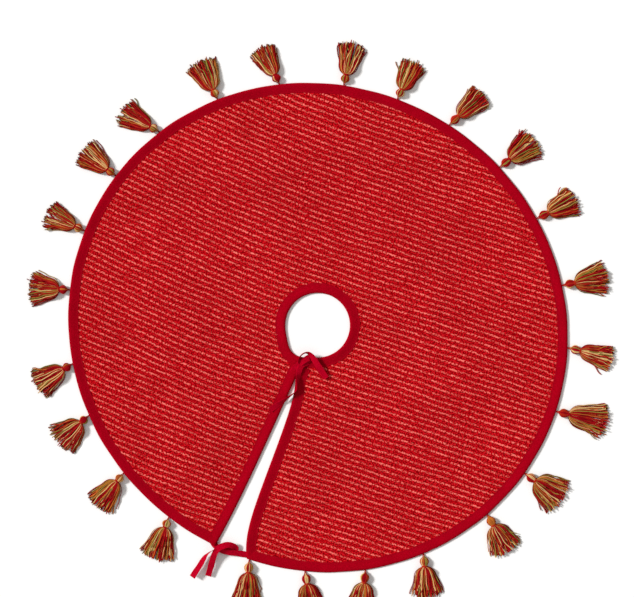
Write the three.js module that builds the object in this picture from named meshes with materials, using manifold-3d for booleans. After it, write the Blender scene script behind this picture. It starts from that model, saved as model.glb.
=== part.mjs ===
// Round cloth tree skirt, laid flat: a striped face and a plain lining bound together with tape,
// a trunk hole, a slit from the hole to the hem, two pairs of tie tapes and a fringe of yarn
// tassels hung on cord loops. Millimetres, +Z up, z = 0 is the floor, the slit points along -Y.
import * as THREE from "three";
import { mergeVertices } from "three/addons/utils/BufferGeometryUtils.js";
import Module from "manifold-3d";

// ---- driving dimensions ----------------------------------------------------------------------
const SKIRT_DIAMETER = 1219; // mean diameter over the hem binding
const OVALITY = 0.0237; // how far the laid cloth is pulled out of round, as a share of the radius
const OVAL_TURN = -9.7; // direction of the longer diameter, degrees from +X
const HOLE_DIAMETER = 159; // trunk hole, inside the binding
const HOLE_X = -3; // the hole sits slightly off the middle of the cloth
const HOLE_Y = 5;
const HOLE_DROP = 12; // how much further the hole reaches towards the slit
const HOLE_DROP_ANGLE = 252;
const HOLE_DROP_SPREAD = 22;

const SLIT_SHUT_TO = 140; // the slit's edges meet up to this distance from the middle
const SLIT_SHUT_GAP = 1; // what is left between them there
const SLIT_MIDDLE_X = -3; // where they meet
const SLIT_LEFT_OPENING = 14; // how far the left edge leans away by the hem
const SLIT_LEFT_FLARE = 11; // and its extra turn-out over the last part
const SLIT_RIGHT_STEP = 16; // the right edge steps away from the left just below the knot
const SLIT_RIGHT_OPENING = 14;
const SLIT_RIGHT_FLARE = 29;

const TAPE_WIDTH = 25; // width of binding seen on each side of the cloth
const TAPE_THICKNESS = 0.8;
const LINING_THICKNESS = 0.8;
const FACE_RIM_THICKNESS = 1.5; // face cloth squeezed under the binding
const PLY_GAP = 0.3; // clearance between layers that touch
const LIFT_WIDTH = 3; // width over which the lining climbs onto the binding's lower leg

const TIE_WIDTH = 15;
const TIE_THICKNESS = 1.2;

const STITCH_HEIGHT = 2.9; // where the loop comes out of the hem, above the floor
const LOOP_END_RADIUS = 2.6; // twisted end of the loop at that stitch
const LOOP_LENGTH = 11; // stitch to the bar that the yarn is folded over, along the loop
const CORD_THICKNESS = 3;
const CORD_CLEARANCE = 0.5; // cord to the yarn folded round it
const FOLD_WIDTH = 8; // width of the yarn where it passes through the loop
const FOLD_RADIUS = 4.2;
const BAR_HEIGHT = 8; // loop bar above the floor
const HEAD_LENGTH = 16;
const HEAD_WIDTH = 24;
const HEAD_HEIGHT = 16;
const NECK_LENGTH = 5;
const NECK_DIAMETER = 15;
const FRINGE_REACH = 92; // loop bar to the tips of the fringe
const FRINGE_WIDTH = 70; // across the tips
const FRINGE_THICKNESS = 11;

// Where each tassel is sewn on, degrees round from +X, and how far its own line lies turned from
// the line through the middle, both counter-clockwise; in order from the slit's right-hand corner.
const TASSELS = [
  [276.1, 13], [289.5, 12.6], [303.5, -17.6], [317.4, -20], [334.6, -12], [347.3, 0],
  [3.1, 7.7], [17.8, -8.8], [32.3, 0.5], [49, 0], [63.9, -4.2], [79.5, -14.6],
  [93.3, -6], [106.4, -6.5], [121.6, 17.5], [136.3, 0], [151.6, 22], [165.6, 0],
  [180, -3], [193.9, 6], [211, 23], [223.6, 21], [239.4, 15], [254.4, 21],
];

const HEM_SEGMENTS = 64;
const HOLE_SEGMENTS = 24;
// Where the slit's edges are drawn through, as shares of the way from the shut part to the hem.
const SLIT_STATIONS = [0, 0.05, 0.12, 0.25, 0.5, 0.75, 0.88, 1, 1.1];

// ---- derived heights -------------------------------------------------------------------------
const LINING_RIM_Z = TAPE_THICKNESS + PLY_GAP;
const FACE_Z = LINING_THICKNESS + PLY_GAP;
const FACE_RIM_Z = LINING_RIM_Z + LINING_THICKNESS + PLY_GAP;
const FACE_TOP = FACE_RIM_Z + FACE_RIM_THICKNESS;
const TAPE_TOP = FACE_TOP + PLY_GAP + TAPE_THICKNESS;
const CLOTH_INSET = TAPE_THICKNESS + PLY_GAP; // cut edge of the cloth inside the fold of the tape

// ---- solids ----------------------------------------------------------------------------------
const wasm = await Module();
wasm.setup();
const RAD = Math.PI / 180;
const BIG = 2000;

function solidOf(geometry) {
  geometry.deleteAttribute("normal");
  geometry.deleteAttribute("uv");
  const merged = mergeVertices(geometry, 1e-4);
  return new wasm.Manifold(
    new wasm.Mesh({
      numProp: 3,
      vertProperties: merged.attributes.position.array,
      triVerts: new Uint32Array(merged.index.array),
    }),
  );
}

function geometryOf(solid) {
  const mesh = solid.getMesh();
  const position = new Float32Array(mesh.numVert * 3);
  for (let i = 0; i < mesh.numVert; i++)
    position.set(mesh.vertProperties.subarray(i * mesh.numProp, i * mesh.numProp + 3), i * 3);
  const geometry = new THREE.BufferGeometry();
  geometry.setAttribute("position", new THREE.BufferAttribute(position, 3));
  geometry.setIndex(new THREE.BufferAttribute(new Uint32Array(mesh.triVerts), 1));
  const flat = geometry.toNonIndexed();
  flat.computeVertexNormals();
  return flat;
}

function plate(points, bottom, top) {
  const geometry = new THREE.ExtrudeGeometry(new THREE.Shape(points), {
    depth: top - bottom,
    bevelEnabled: false,
  });
  return solidOf(geometry.translate(0, 0, bottom));
}

function box(x0, x1, y0, y1, z0, z1) {
  const geometry = new THREE.BoxGeometry(x1 - x0, y1 - y0, z1 - z0);
  return solidOf(geometry.translate((x0 + x1) / 2, (y0 + y1) / 2, (z0 + z1) / 2));
}

// ---- outlines --------------------------------------------------------------------------------
const hemRadius = (angle) =>
  (SKIRT_DIAMETER / 2) * (1 + OVALITY * Math.cos(2 * (angle - OVAL_TURN) * RAD));

const holeRadius = (angle) => {
  const off = (angle - HOLE_DROP_ANGLE) / HOLE_DROP_SPREAD;
  return HOLE_DIAMETER / 2 + HOLE_DROP * Math.exp(-off * off);
};

const HEM_AT_SLIT = hemRadius(270);
const opened = (s) => Math.max(0, (s - SLIT_SHUT_TO) / (HEM_AT_SLIT - SLIT_SHUT_TO));

const slitLeft = (s) => {
  const u = opened(s);
  return SLIT_MIDDLE_X - SLIT_SHUT_GAP / 2 - SLIT_LEFT_OPENING * u - SLIT_LEFT_FLARE * u ** 4;
};

const slitRight = (s) => {
  const u = opened(s);
  const step = SLIT_RIGHT_STEP * (1 - Math.exp(-u / 0.1));
  return SLIT_MIDDLE_X + SLIT_SHUT_GAP / 2 + step + SLIT_RIGHT_OPENING * u + SLIT_RIGHT_FLARE * u ** 9;
};

// Distance from the middle to the hem's wall, whose facets run straight between the stations.
function hemWall(angle) {
  const step = 360 / HEM_SEGMENTS;
  const from = Math.floor(angle / step) * step;
  const [a, b] = [from, from + step].map((at) => [hemRadius(at), (at - angle) * RAD]);
  return (a[0] * b[0] * Math.sin(b[1] - a[1])) / (b[0] * Math.sin(b[1]) - a[0] * Math.sin(a[1]));
}

function ring(segments, radius, cx = 0, cy = 0) {
  const points = [];
  for (let i = 0; i < segments; i++) {
    const angle = (360 * i) / segments;
    const r = radius(angle);
    points.push(
      new THREE.Vector2(cx + r * Math.cos(angle * RAD), cy + r * Math.sin(angle * RAD)),
    );
  }
  return points;
}

// The whole disc, the hole and the slit, each moved inwards into the cloth by `inset`.
const disc = (inset, bottom, top) =>
  plate(ring(HEM_SEGMENTS, (a) => hemRadius(a) - inset), bottom, top);

const hole = (inset, bottom, top) =>
  plate(ring(HOLE_SEGMENTS, (a) => holeRadius(a) + inset, HOLE_X, HOLE_Y), bottom, top);

function slit(inset, bottom, top) {
  const lengths = SLIT_STATIONS.map((u) => SLIT_SHUT_TO + u * (HEM_AT_SLIT - SLIT_SHUT_TO));
  lengths.unshift(HOLE_DIAMETER / 4);
  const left = lengths.map((s) => new THREE.Vector2(slitLeft(s) - inset, -s));
  const right = lengths.map((s) => new THREE.Vector2(slitRight(s) + inset, -s));
  return plate([...left, ...right.reverse()], bottom, top);
}

// The shape of the cloth, `inset` in from every edge, between two heights.
const cloth = (inset, bottom, top) =>
  disc(inset, bottom, top)
    .subtract(hole(inset, bottom - 1, top + 1))
    .subtract(slit(inset, bottom - 1, top + 1));

// ---- layers ----------------------------------------------------------------------------------
const innerEdge = TAPE_WIDTH + PLY_GAP;
const lining = cloth(innerEdge, 0, LINING_THICKNESS)
  .add(
    cloth(innerEdge, 0, LINING_RIM_Z + LINING_THICKNESS).subtract(
      cloth(innerEdge + LIFT_WIDTH, -1, TAPE_TOP),
    ),
  )
  .add(
    cloth(CLOTH_INSET, LINING_RIM_Z, LINING_RIM_Z + LINING_THICKNESS).subtract(
      cloth(innerEdge + LIFT_WIDTH, -1, TAPE_TOP),
    ),
  );
const face = cloth(innerEdge + LIFT_WIDTH + PLY_GAP, FACE_Z, FACE_TOP).add(
  cloth(CLOTH_INSET, FACE_RIM_Z, FACE_TOP),
);

// Tape folded over the cut edges: a lower leg, the fold, and an upper leg.
const tape = cloth(0, 0, TAPE_TOP)
  .subtract(cloth(TAPE_THICKNESS, TAPE_THICKNESS, TAPE_TOP - TAPE_THICKNESS))
  .subtract(cloth(TAPE_WIDTH, -1, TAPE_TOP + 1));
const hemTape = tape.subtract(disc(TAPE_WIDTH, -1, TAPE_TOP + 1));
const holeTape = tape.intersect(hole(TAPE_WIDTH, -1, TAPE_TOP + 1));
const slitTape = tape
  .subtract(hole(TAPE_WIDTH + PLY_GAP, -1, TAPE_TOP + 1))
  .intersect(disc(TAPE_WIDTH + PLY_GAP, -1, TAPE_TOP + 1));
// The slit never crosses the line where its edges meet, so that line parts left from right.
const biggest = (solid) =>
  solid.decompose().reduce((a, b) => (a.volume() > b.volume() ? a : b));
const slitTapeLeft = slitTape.intersect(box(-BIG, SLIT_MIDDLE_X, -BIG, 0, -1, BIG));
const slitTapeRight = slitTape.intersect(box(SLIT_MIDDLE_X, BIG, -BIG, 0, -1, BIG));

// ---- ties ------------------------------------------------------------------------------------
// A flat tape along a line of points; its width stays level however the line climbs.
function tie(points) {
  const path = new THREE.CatmullRomCurve3(points.map((p) => new THREE.Vector3(...p)));
  const steps = 4 * (points.length - 1);
  path.computeFrenetFrames = () => {
    const frames = { tangents: [], normals: [], binormals: [] };
    for (let i = 0; i <= steps; i++) {
      const along = path.getTangentAt(i / steps);
      const across = new THREE.Vector3(-along.y, along.x, 0).normalize();
      frames.tangents.push(along);
      frames.normals.push(new THREE.Vector3().crossVectors(across, along));
      frames.binormals.push(across);
    }
    return frames;
  };
  const t = TIE_THICKNESS / 2;
  const w = TIE_WIDTH / 2;
  const section = [[-t, -w], [t, -w], [t, w], [-t, w]].map((p) => new THREE.Vector2(...p));
  return solidOf(
    new THREE.ExtrudeGeometry(new THREE.Shape(section), {
      steps,
      extrudePath: path,
      bevelEnabled: false,
    }),
  );
}
const onTape = TAPE_TOP + PLY_GAP + TIE_THICKNESS / 2; // a tie lying on the binding
const HEM_TIE_Y = -HEM_AT_SLIT + 11; // line of the right-hand hem tie where it leaves the slit
const TIE_LOW = 1.2;
const TIE_MID = TIE_LOW + TIE_THICKNESS + 1.2;

const outerTieRight = tie([
  [slitRight(-HEM_TIE_Y) - 1.6, HEM_TIE_Y, TIE_MID],
  [30, HEM_TIE_Y - 6, TIE_MID],
  [10, HEM_TIE_Y - 12, TIE_MID],
  [-12, HEM_TIE_Y - 18, TIE_MID],
  [-33, HEM_TIE_Y - 30, TIE_MID],
  [-45, HEM_TIE_Y - 60, 2.2],
  [-49, HEM_TIE_Y - 101, 1.2],
]);
const outerTieLeft = tie([
  [-41, HEM_TIE_Y - 3, onTape],
  [-30, HEM_TIE_Y - 8, onTape + 0.2],
  [-16, HEM_TIE_Y + 1, onTape + 2],
  [-2, HEM_TIE_Y + 8, onTape + 2.6],
  [11, HEM_TIE_Y + 9, 4.4],
  [21, HEM_TIE_Y + 4, 1.5],
  [26, HEM_TIE_Y - 5, TIE_LOW],
  [17, HEM_TIE_Y - 15, TIE_LOW],
  [-2, HEM_TIE_Y - 20, TIE_LOW],
  [-16, HEM_TIE_Y - 29, TIE_LOW],
  [-21, HEM_TIE_Y - 52, TIE_LOW],
  [-18, HEM_TIE_Y - 85, TIE_LOW],
]);
const innerTieLeft = tie([
  [-28, -126, onTape],
  [-18, -110, onTape],
  [-10, -96, onTape + 0.6],
  [-9, -82, onTape + 4],
  [1, -70, onTape + 8],
  [14, -66, onTape + 7],
  [26, -73, onTape + 2.5],
  [42, -88, onTape + 0.2],
  [65, -110.5, onTape],
]);
const innerTieRight = tie([
  [19, -89, onTape],
  [7, -97, onTape + 1.8],
  [-5, -105, onTape + 3.8],
  [-8, -117, onTape + 3.2],
  [-3, -132, onTape + 1.6],
  [5, -150, onTape + 0.6],
  [0, -176, onTape + 0.3],
  [-17, -200, onTape],
  [-39, -219, onTape],
]);

// ---- tassels ---------------------------------------------------------------------------------
// Local frame: +X runs out along the tassel, the origin is the middle of the loop's bar.
const halfCord = CORD_THICKNESS / 2;
const loopTilt = Math.asin((BAR_HEIGHT - STITCH_HEIGHT) / LOOP_LENGTH);
const loopReach = LOOP_LENGTH * Math.cos(loopTilt);
const stitchOff = // hem wall to the stitch, so that the loop's end turns clear of the wall
  LOOP_END_RADIUS * Math.cos(loopTilt) + halfCord * Math.sin(loopTilt) + PLY_GAP;
const legInner = FOLD_WIDTH / 2 + CORD_CLEARANCE;
const legOuter = legInner + CORD_THICKNESS;
const legBack = -(FOLD_RADIUS + CORD_CLEARANCE + 0.2); // legs run straight as far as the yarn's fold

function bevelled(outline, holes, thickness, bevel) {
  const shape = new THREE.Shape(outline.map((p) => new THREE.Vector2(...p)));
  for (const h of holes) shape.holes.push(new THREE.Path(h.map((p) => new THREE.Vector2(...p))));
  const geometry = new THREE.ExtrudeGeometry(shape, {
    depth: thickness - 2 * bevel,
    bevelThickness: bevel,
    bevelSize: bevel,
    bevelOffset: -bevel,
    bevelSegments: 1,
    curveSegments: 1,
  });
  return solidOf(geometry.translate(0, 0, bevel - thickness / 2));
}

function loopSolid() {
  const outline = [];
  for (let i = 0; i <= 4; i++) {
    const angle = (100 + 40 * i) * RAD;
    outline.push([
      -LOOP_LENGTH + LOOP_END_RADIUS * Math.cos(angle),
      LOOP_END_RADIUS * Math.sin(angle),
    ]);
  }
  outline.push([legBack, -legOuter], [halfCord, -legOuter + 1.2]);
  outline.push([halfCord, legOuter - 1.2], [legBack, legOuter]);
  const eye = [
    [legBack, legInner], [legBack - 1.6, 1.2], [legBack - 1.6, -1.2],
    [legBack, -legInner], [-halfCord, -legInner], [-halfCord, legInner],
  ];
  return bevelled(outline, [eye], CORD_THICKNESS, 0.8).rotate([0, -loopTilt / RAD, 0]);
}

// Yarn folded over the bar, bound at the neck and combed out into a flat-bottomed fan.
function bundleSolid() {
  const floor = -BAR_HEIGHT;
  const bore = halfCord + CORD_CLEARANCE;
  const foldShape = new THREE.Shape();
  foldShape.moveTo(9, -FOLD_RADIUS);
  foldShape.lineTo(9, FOLD_RADIUS);
  foldShape.lineTo(0, FOLD_RADIUS);
  foldShape.absarc(0, 0, FOLD_RADIUS, Math.PI / 2, 1.5 * Math.PI, false);
  foldShape.holes.push(new THREE.Path().absarc(0, 0, bore, 0, 2 * Math.PI, true));
  const fold = solidOf(
    new THREE.ExtrudeGeometry(foldShape, {
      depth: FOLD_WIDTH,
      bevelEnabled: false,
      curveSegments: 4,
    })
      .translate(0, 0, -FOLD_WIDTH / 2)
      .rotateX(Math.PI / 2),
  );
  const headX = halfCord + 1.5;
  const neckX = headX + HEAD_LENGTH;
  const headProfile = [
    [0, headX],
    [0.42 * HEAD_WIDTH, headX + 0.18 * HEAD_LENGTH],
    [0.5 * HEAD_WIDTH, headX + 0.5 * HEAD_LENGTH],
    [NECK_DIAMETER / 2, neckX],
    [NECK_DIAMETER / 2, neckX + NECK_LENGTH],
    [0, neckX + NECK_LENGTH + 3],
  ].map((p) => new THREE.Vector2(...p));
  const head = solidOf(
    new THREE.LatheGeometry(headProfile, 8)
      .rotateZ(-Math.PI / 2)
      .scale(1, 1, HEAD_HEIGHT / HEAD_WIDTH),
  );
  const w = FRINGE_WIDTH / 2;
  const tip = FRINGE_REACH;
  const fringe = bevelled(
    [
      [neckX + 2, -NECK_DIAMETER / 2 + 1], [neckX + 24, -w * 0.66], [tip - 10, -w],
      [tip, -w * 0.35], [tip, w * 0.35],
      [tip - 10, w], [neckX + 24, w * 0.66], [neckX + 2, NECK_DIAMETER / 2 - 1],
    ],
    [],
    FRINGE_THICKNESS,
    2.4,
  ).translate(0, 0, floor + FRINGE_THICKNESS / 2);
  return fold.add(head).add(fringe);
}

// ---- assembly --------------------------------------------------------------------------------
const red = { color: 0xb8161f, roughness: 0.9, metalness: 0 };
const crimson = { color: 0x9c0a1c, roughness: 0.85, metalness: 0 };
const plain = { color: 0xa32430, roughness: 0.95, metalness: 0 };
const cord = { color: 0xc0262a, roughness: 0.9, metalness: 0 };
const yarn = { color: 0xb5482c, roughness: 0.95, metalness: 0 };

const skirt = new THREE.Group();
skirt.name = "tree_skirt";

function addPiece(name, geometry, look) {
  const mesh = new THREE.Mesh(geometry, new THREE.MeshStandardMaterial(look));
  mesh.name = name;
  skirt.add(mesh);
  return mesh;
}

addPiece("lining_panel", geometryOf(lining), plain);
addPiece("face_panel", geometryOf(face), red);
addPiece("hem_binding", geometryOf(biggest(hemTape)), crimson);
addPiece("hole_binding", geometryOf(biggest(holeTape)), crimson);
addPiece("slit_binding_left", geometryOf(biggest(slitTapeLeft)), crimson);
addPiece("slit_binding_right", geometryOf(biggest(slitTapeRight)), crimson);
addPiece("outer_tie_left", geometryOf(outerTieLeft), crimson);
addPiece("outer_tie_right", geometryOf(outerTieRight), crimson);
addPiece("inner_tie_left", geometryOf(innerTieLeft), crimson);
addPiece("inner_tie_right", geometryOf(innerTieRight), crimson);

const loopGeometry = geometryOf(loopSolid());
const bundleGeometry = geometryOf(bundleSolid());
TASSELS.forEach(([angle, lean], i) => {
  const number = String(i + 1).padStart(2, "0");
  const stitch = hemWall(angle) + stitchOff;
  const heading = (angle + lean) * RAD;
  const x = stitch * Math.cos(angle * RAD) + loopReach * Math.cos(heading);
  const y = stitch * Math.sin(angle * RAD) + loopReach * Math.sin(heading);
  const hung = [
    addPiece("tassel_" + number + "_loop", loopGeometry, cord),
    addPiece("tassel_" + number + "_bundle", bundleGeometry, yarn),
  ];
  for (const mesh of hung) {
    mesh.position.set(x, y, BAR_HEIGHT);
    mesh.rotation.z = heading;
  }
});

export default skirt;
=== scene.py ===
# Round cloth tree skirt laid flat on a pale floor: striped face, lining, folded binding, two pairs
# of tie tapes knotted across the slit and yarn tassels round the hem. The CAD's frame, +Z up.
# Shapes are worked out in millimetres and written in metres.
import math

import bpy
import numpy as np
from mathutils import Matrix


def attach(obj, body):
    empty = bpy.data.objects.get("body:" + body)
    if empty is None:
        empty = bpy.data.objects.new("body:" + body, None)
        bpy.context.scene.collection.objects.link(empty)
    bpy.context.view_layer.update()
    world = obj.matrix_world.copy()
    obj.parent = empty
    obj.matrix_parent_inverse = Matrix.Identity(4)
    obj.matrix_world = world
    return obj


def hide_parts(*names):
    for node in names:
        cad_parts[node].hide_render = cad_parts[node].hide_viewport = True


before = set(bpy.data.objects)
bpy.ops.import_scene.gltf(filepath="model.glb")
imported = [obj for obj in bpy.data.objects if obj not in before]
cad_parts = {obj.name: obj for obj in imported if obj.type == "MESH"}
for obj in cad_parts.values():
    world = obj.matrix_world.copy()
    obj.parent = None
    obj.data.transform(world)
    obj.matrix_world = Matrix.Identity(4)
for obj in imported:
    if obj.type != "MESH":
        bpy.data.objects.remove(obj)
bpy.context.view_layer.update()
MM = 0.001

# ---- the skirt's own dimensions, the same as the CAD's ------------------------------------------
SKIRT_RADIUS = 609.5
OVALITY, OVAL_TURN = 0.0237, -9.7
HOLE_X, HOLE_Y, HOLE_RADIUS = -3.0, 5.0, 79.5
HOLE_DROP, HOLE_DROP_ANGLE, HOLE_DROP_SPREAD = 12.0, 252.0, 22.0
SLIT_SHUT_TO, SLIT_MIDDLE_X, SLIT_HALF_GAP = 140.0, -3.0, 0.5
SLIT_LEFT_OPENING, SLIT_LEFT_FLARE = 14.0, 11.0
SLIT_RIGHT_STEP, SLIT_RIGHT_OPENING, SLIT_RIGHT_FLARE = 16.0, 14.0, 29.0
FACE_TOP = 3.7
TAPE_CROWN = 7.4  # the binding's highest line, above the floor
CLOTH_INSET = 13.0  # the cloths end this far in from the edge, inside the binding
STRIPE_PITCH = 13.8

# Tassels in order round the hem: where each is sewn, how far it leans, its length and its spread.
TASSELS = [
    (276.1, 13, 109, 70), (289.5, 12.6, 109, 74), (303.5, -17.6, 109, 76), (317.4, -20, 106, 79),
    (334.6, -12, 104, 83), (347.3, 0, 111, 98), (3.1, 7.7, 127, 84), (17.8, -8.8, 111, 64),
    (32.3, 0.5, 113, 79), (49, 0, 106, 76), (63.9, -4.2, 108, 82), (79.5, -14.6, 111, 65),
    (93.3, -6, 98, 70), (106.4, -6.5, 104, 66), (121.6, 17.5, 100, 64), (136.3, 0, 102, 79),
    (151.6, 22, 104, 68), (165.6, 0, 102, 72), (180, -3, 101, 68), (193.9, 6, 99, 81),
    (211, 23, 104, 73), (223.6, 21, 99, 85), (239.4, 15, 104, 73), (254.4, 21, 106, 79),
]
HEM_SEGMENTS = 64  # facets of the CAD's hem
BAR_HEIGHT, STITCH_HEIGHT, LOOP_LENGTH = 8.0, 2.9, 11.0
LOOP_REACH = math.sqrt(LOOP_LENGTH**2 - (BAR_HEIGHT - STITCH_HEIGHT) ** 2)
STITCH_OFF = 3.3  # the loop's stitch stands this far off the hem
HEM_TO_BAR = STITCH_OFF + LOOP_REACH


def srgb(r, g, b):
    """8-bit display colour to linear."""
    out = []
    for c in (r, g, b):
        c /= 255
        out.append(c / 12.92 if c <= 0.04045 else ((c + 0.055) / 1.055) ** 2.4)
    return (*out, 1.0)


def ease(lo, hi, x):
    """0 up to lo, 1 from hi, a smooth step between them."""
    t = np.clip((x - lo) / (hi - lo), 0, 1)
    return t * t * (3 - 2 * t)


# ---- outlines -----------------------------------------------------------------------------------
def hem_radius(angle):
    """Middle to the hem, a little out of round; angle in degrees from +X."""
    return SKIRT_RADIUS * (1 + OVALITY * np.cos(2 * np.radians(angle - OVAL_TURN)))


HEM_AT_SLIT = float(hem_radius(270.0))


def hole_radius(angle):
    """The hole's own middle to its edge, drawn out towards the slit."""
    off = (np.mod(angle, 360) - HOLE_DROP_ANGLE) / HOLE_DROP_SPREAD
    return HOLE_RADIUS + HOLE_DROP * np.exp(-off * off)


def opened(s):
    """How far along the open part of the slit: 0 where it is shut, 1 at the hem."""
    return np.maximum(0, (s - SLIT_SHUT_TO) / (HEM_AT_SLIT - SLIT_SHUT_TO))


def slit_left(s):
    """x of the slit's left edge at the distance s from the middle."""
    u = opened(s)
    return SLIT_MIDDLE_X - SLIT_HALF_GAP - SLIT_LEFT_OPENING * u - SLIT_LEFT_FLARE * u**4


def slit_right(s):
    """x of the slit's right edge at the distance s from the middle."""
    u = opened(s)
    step = SLIT_RIGHT_STEP * (1 - np.exp(-u / 0.1))
    return SLIT_MIDDLE_X + SLIT_HALF_GAP + step + SLIT_RIGHT_OPENING * u + SLIT_RIGHT_FLARE * u**9


def edge_distance(x, y):
    """How far inside the cloth a point is from the nearest edge: hem, hole or slit."""
    hem = hem_radius(np.degrees(np.arctan2(y, x))) - np.hypot(x, y)
    hx, hy = x - HOLE_X, y - HOLE_Y
    hole = np.hypot(hx, hy) - hole_radius(np.degrees(np.arctan2(hy, hx)))
    slit = np.where(-y > 40, np.maximum(slit_left(-y) - x, x - slit_right(-y)), 1e3)
    return np.minimum(np.minimum(hem, hole), slit)


# ---- meshes -------------------------------------------------------------------------------------
def outward(co, faces):
    """Turns a closed body's faces outwards."""
    volume = 0.0
    for f in faces:
        a = co[f[:, 0]]
        for i in range(1, f.shape[1] - 1):
            volume += np.einsum("ij,ij->", a, np.cross(co[f[:, i]], co[f[:, i + 1]]))
    return [f[:, ::-1] for f in faces] if volume < 0 else faces


def piece(name, co, faces, body, material, slot, stands_for=(), fields=(), closed=True):
    """A mesh object from points in millimetres and arrays of faces, riding on a CAD body."""
    co = np.asarray(co, float)
    faces = [np.asarray(f) for f in faces if len(f)]
    if closed:
        faces = outward(co - co.mean(0), faces)
    me = bpy.data.meshes.new(name)
    me.vertices.add(len(co))
    me.vertices.foreach_set("co", (co * MM).astype(np.float32).ravel())
    corners = np.concatenate([f.ravel() for f in faces]).astype(np.int32)
    sizes = np.concatenate([np.full(len(f), f.shape[1]) for f in faces])
    me.loops.add(len(corners))
    me.loops.foreach_set("vertex_index", corners)
    me.polygons.add(len(sizes))
    me.polygons.foreach_set("loop_start", np.r_[0, np.cumsum(sizes)[:-1]].astype(np.int32))
    me.update(calc_edges=True)
    me.validate()
    me.shade_smooth()
    for key, values in dict(fields).items():
        values = np.asarray(values, np.float32)
        if values.shape[1] == 4:
            layer = me.color_attributes.new(key, "FLOAT_COLOR", "POINT")
            layer.data.foreach_set("color", values.ravel())
        else:
            layer = me.attributes.new(key, "FLOAT_VECTOR", "POINT")
            layer.data.foreach_set("vector", values.ravel())
    o = bpy.data.objects.new(name, me)
    bpy.context.scene.collection.objects.link(o)
    me.materials.append(material)
    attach(o, body)
    if stands_for:
        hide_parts(*stands_for)
    return o


def joined(parts):
    """Several (points, faces, fields) as one."""
    co, faces, fields, base = [], [], {}, 0
    for c, fs, fd in parts:
        co.append(c)
        faces += [f + base for f in fs]
        for k, v in fd.items():
            fields.setdefault(k, []).append(v)
        base += len(c)
    return np.concatenate(co), faces, {k: np.concatenate(v) for k, v in fields.items()}


def tubes(paths, radii, sides, colours, first=(0.0, 0.0, 1.0)):
    """Closed tubes along many lines with the same number of points, as (points, faces, fields)."""
    p = np.asarray(paths, float)
    count, n, _ = p.shape
    t = np.gradient(p, axis=1)
    t /= np.linalg.norm(t, axis=2, keepdims=True)
    side = np.broadcast_to(np.asarray(first, float), (count, 3)).copy()
    ring = np.arange(sides) * 2 * np.pi / sides
    rows = np.empty((count, n, sides, 3))
    for i in range(n):
        side = side - (side * t[:, i]).sum(1, keepdims=True) * t[:, i]
        side /= np.linalg.norm(side, axis=1, keepdims=True)
        other = np.cross(t[:, i], side)
        out = side[:, None] * np.cos(ring)[:, None] + other[:, None] * np.sin(ring)[:, None]
        rows[:, i] = p[:, i, None] + out * radii[:, i, None, None]
    at = np.arange(count * n * sides).reshape(count, n, sides)
    nxt = np.roll(at, -1, axis=2)
    quads = np.stack([at[:, :-1], at[:, 1:], nxt[:, 1:], nxt[:, :-1]], -1).reshape(-1, 4)
    step = np.linalg.norm(np.diff(p, axis=1), axis=2)
    along = np.concatenate([np.zeros((count, 1)), np.cumsum(step, 1)], 1)
    field = np.empty((count, n, sides, 3))
    field[..., 0] = along[:, :, None]
    field[..., 1], field[..., 2] = np.cos(ring), np.sin(ring)
    tints = np.broadcast_to(np.asarray(colours, float)[:, None, None, :], (count, n, sides, 4))
    return (
        rows.reshape(-1, 3),
        [quads, at[:, 0, ::-1], at[:, -1]],
        {"strand": field.reshape(-1, 3), "yarn": tints.reshape(-1, 4)},
    )


def curve_through(points, count):
    """A smooth line through points of any width, resampled evenly by its first three columns."""
    p = np.asarray(points, float)
    p = np.vstack([2 * p[0] - p[1], p, 2 * p[-1] - p[-2]])
    u = np.linspace(0, 1, 24, endpoint=False)[:, None]
    out = []
    for a, b, c, d in zip(p[:-3], p[1:-2], p[2:-1], p[3:]):
        out.append(
            0.5 * (2 * b + (c - a) * u + (2 * a - 5 * b + 4 * c - d) * u**2
                   + (3 * b - a - 3 * c + d) * u**3)
        )
    out = np.vstack(out + [p[-2:-1]])
    run = np.r_[0, np.cumsum(np.linalg.norm(np.diff(out[:, :3], axis=0), axis=1))]
    at = np.linspace(0, run[-1], count)
    return np.stack([np.interp(at, run, out[:, k]) for k in range(out.shape[1])], 1)


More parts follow.
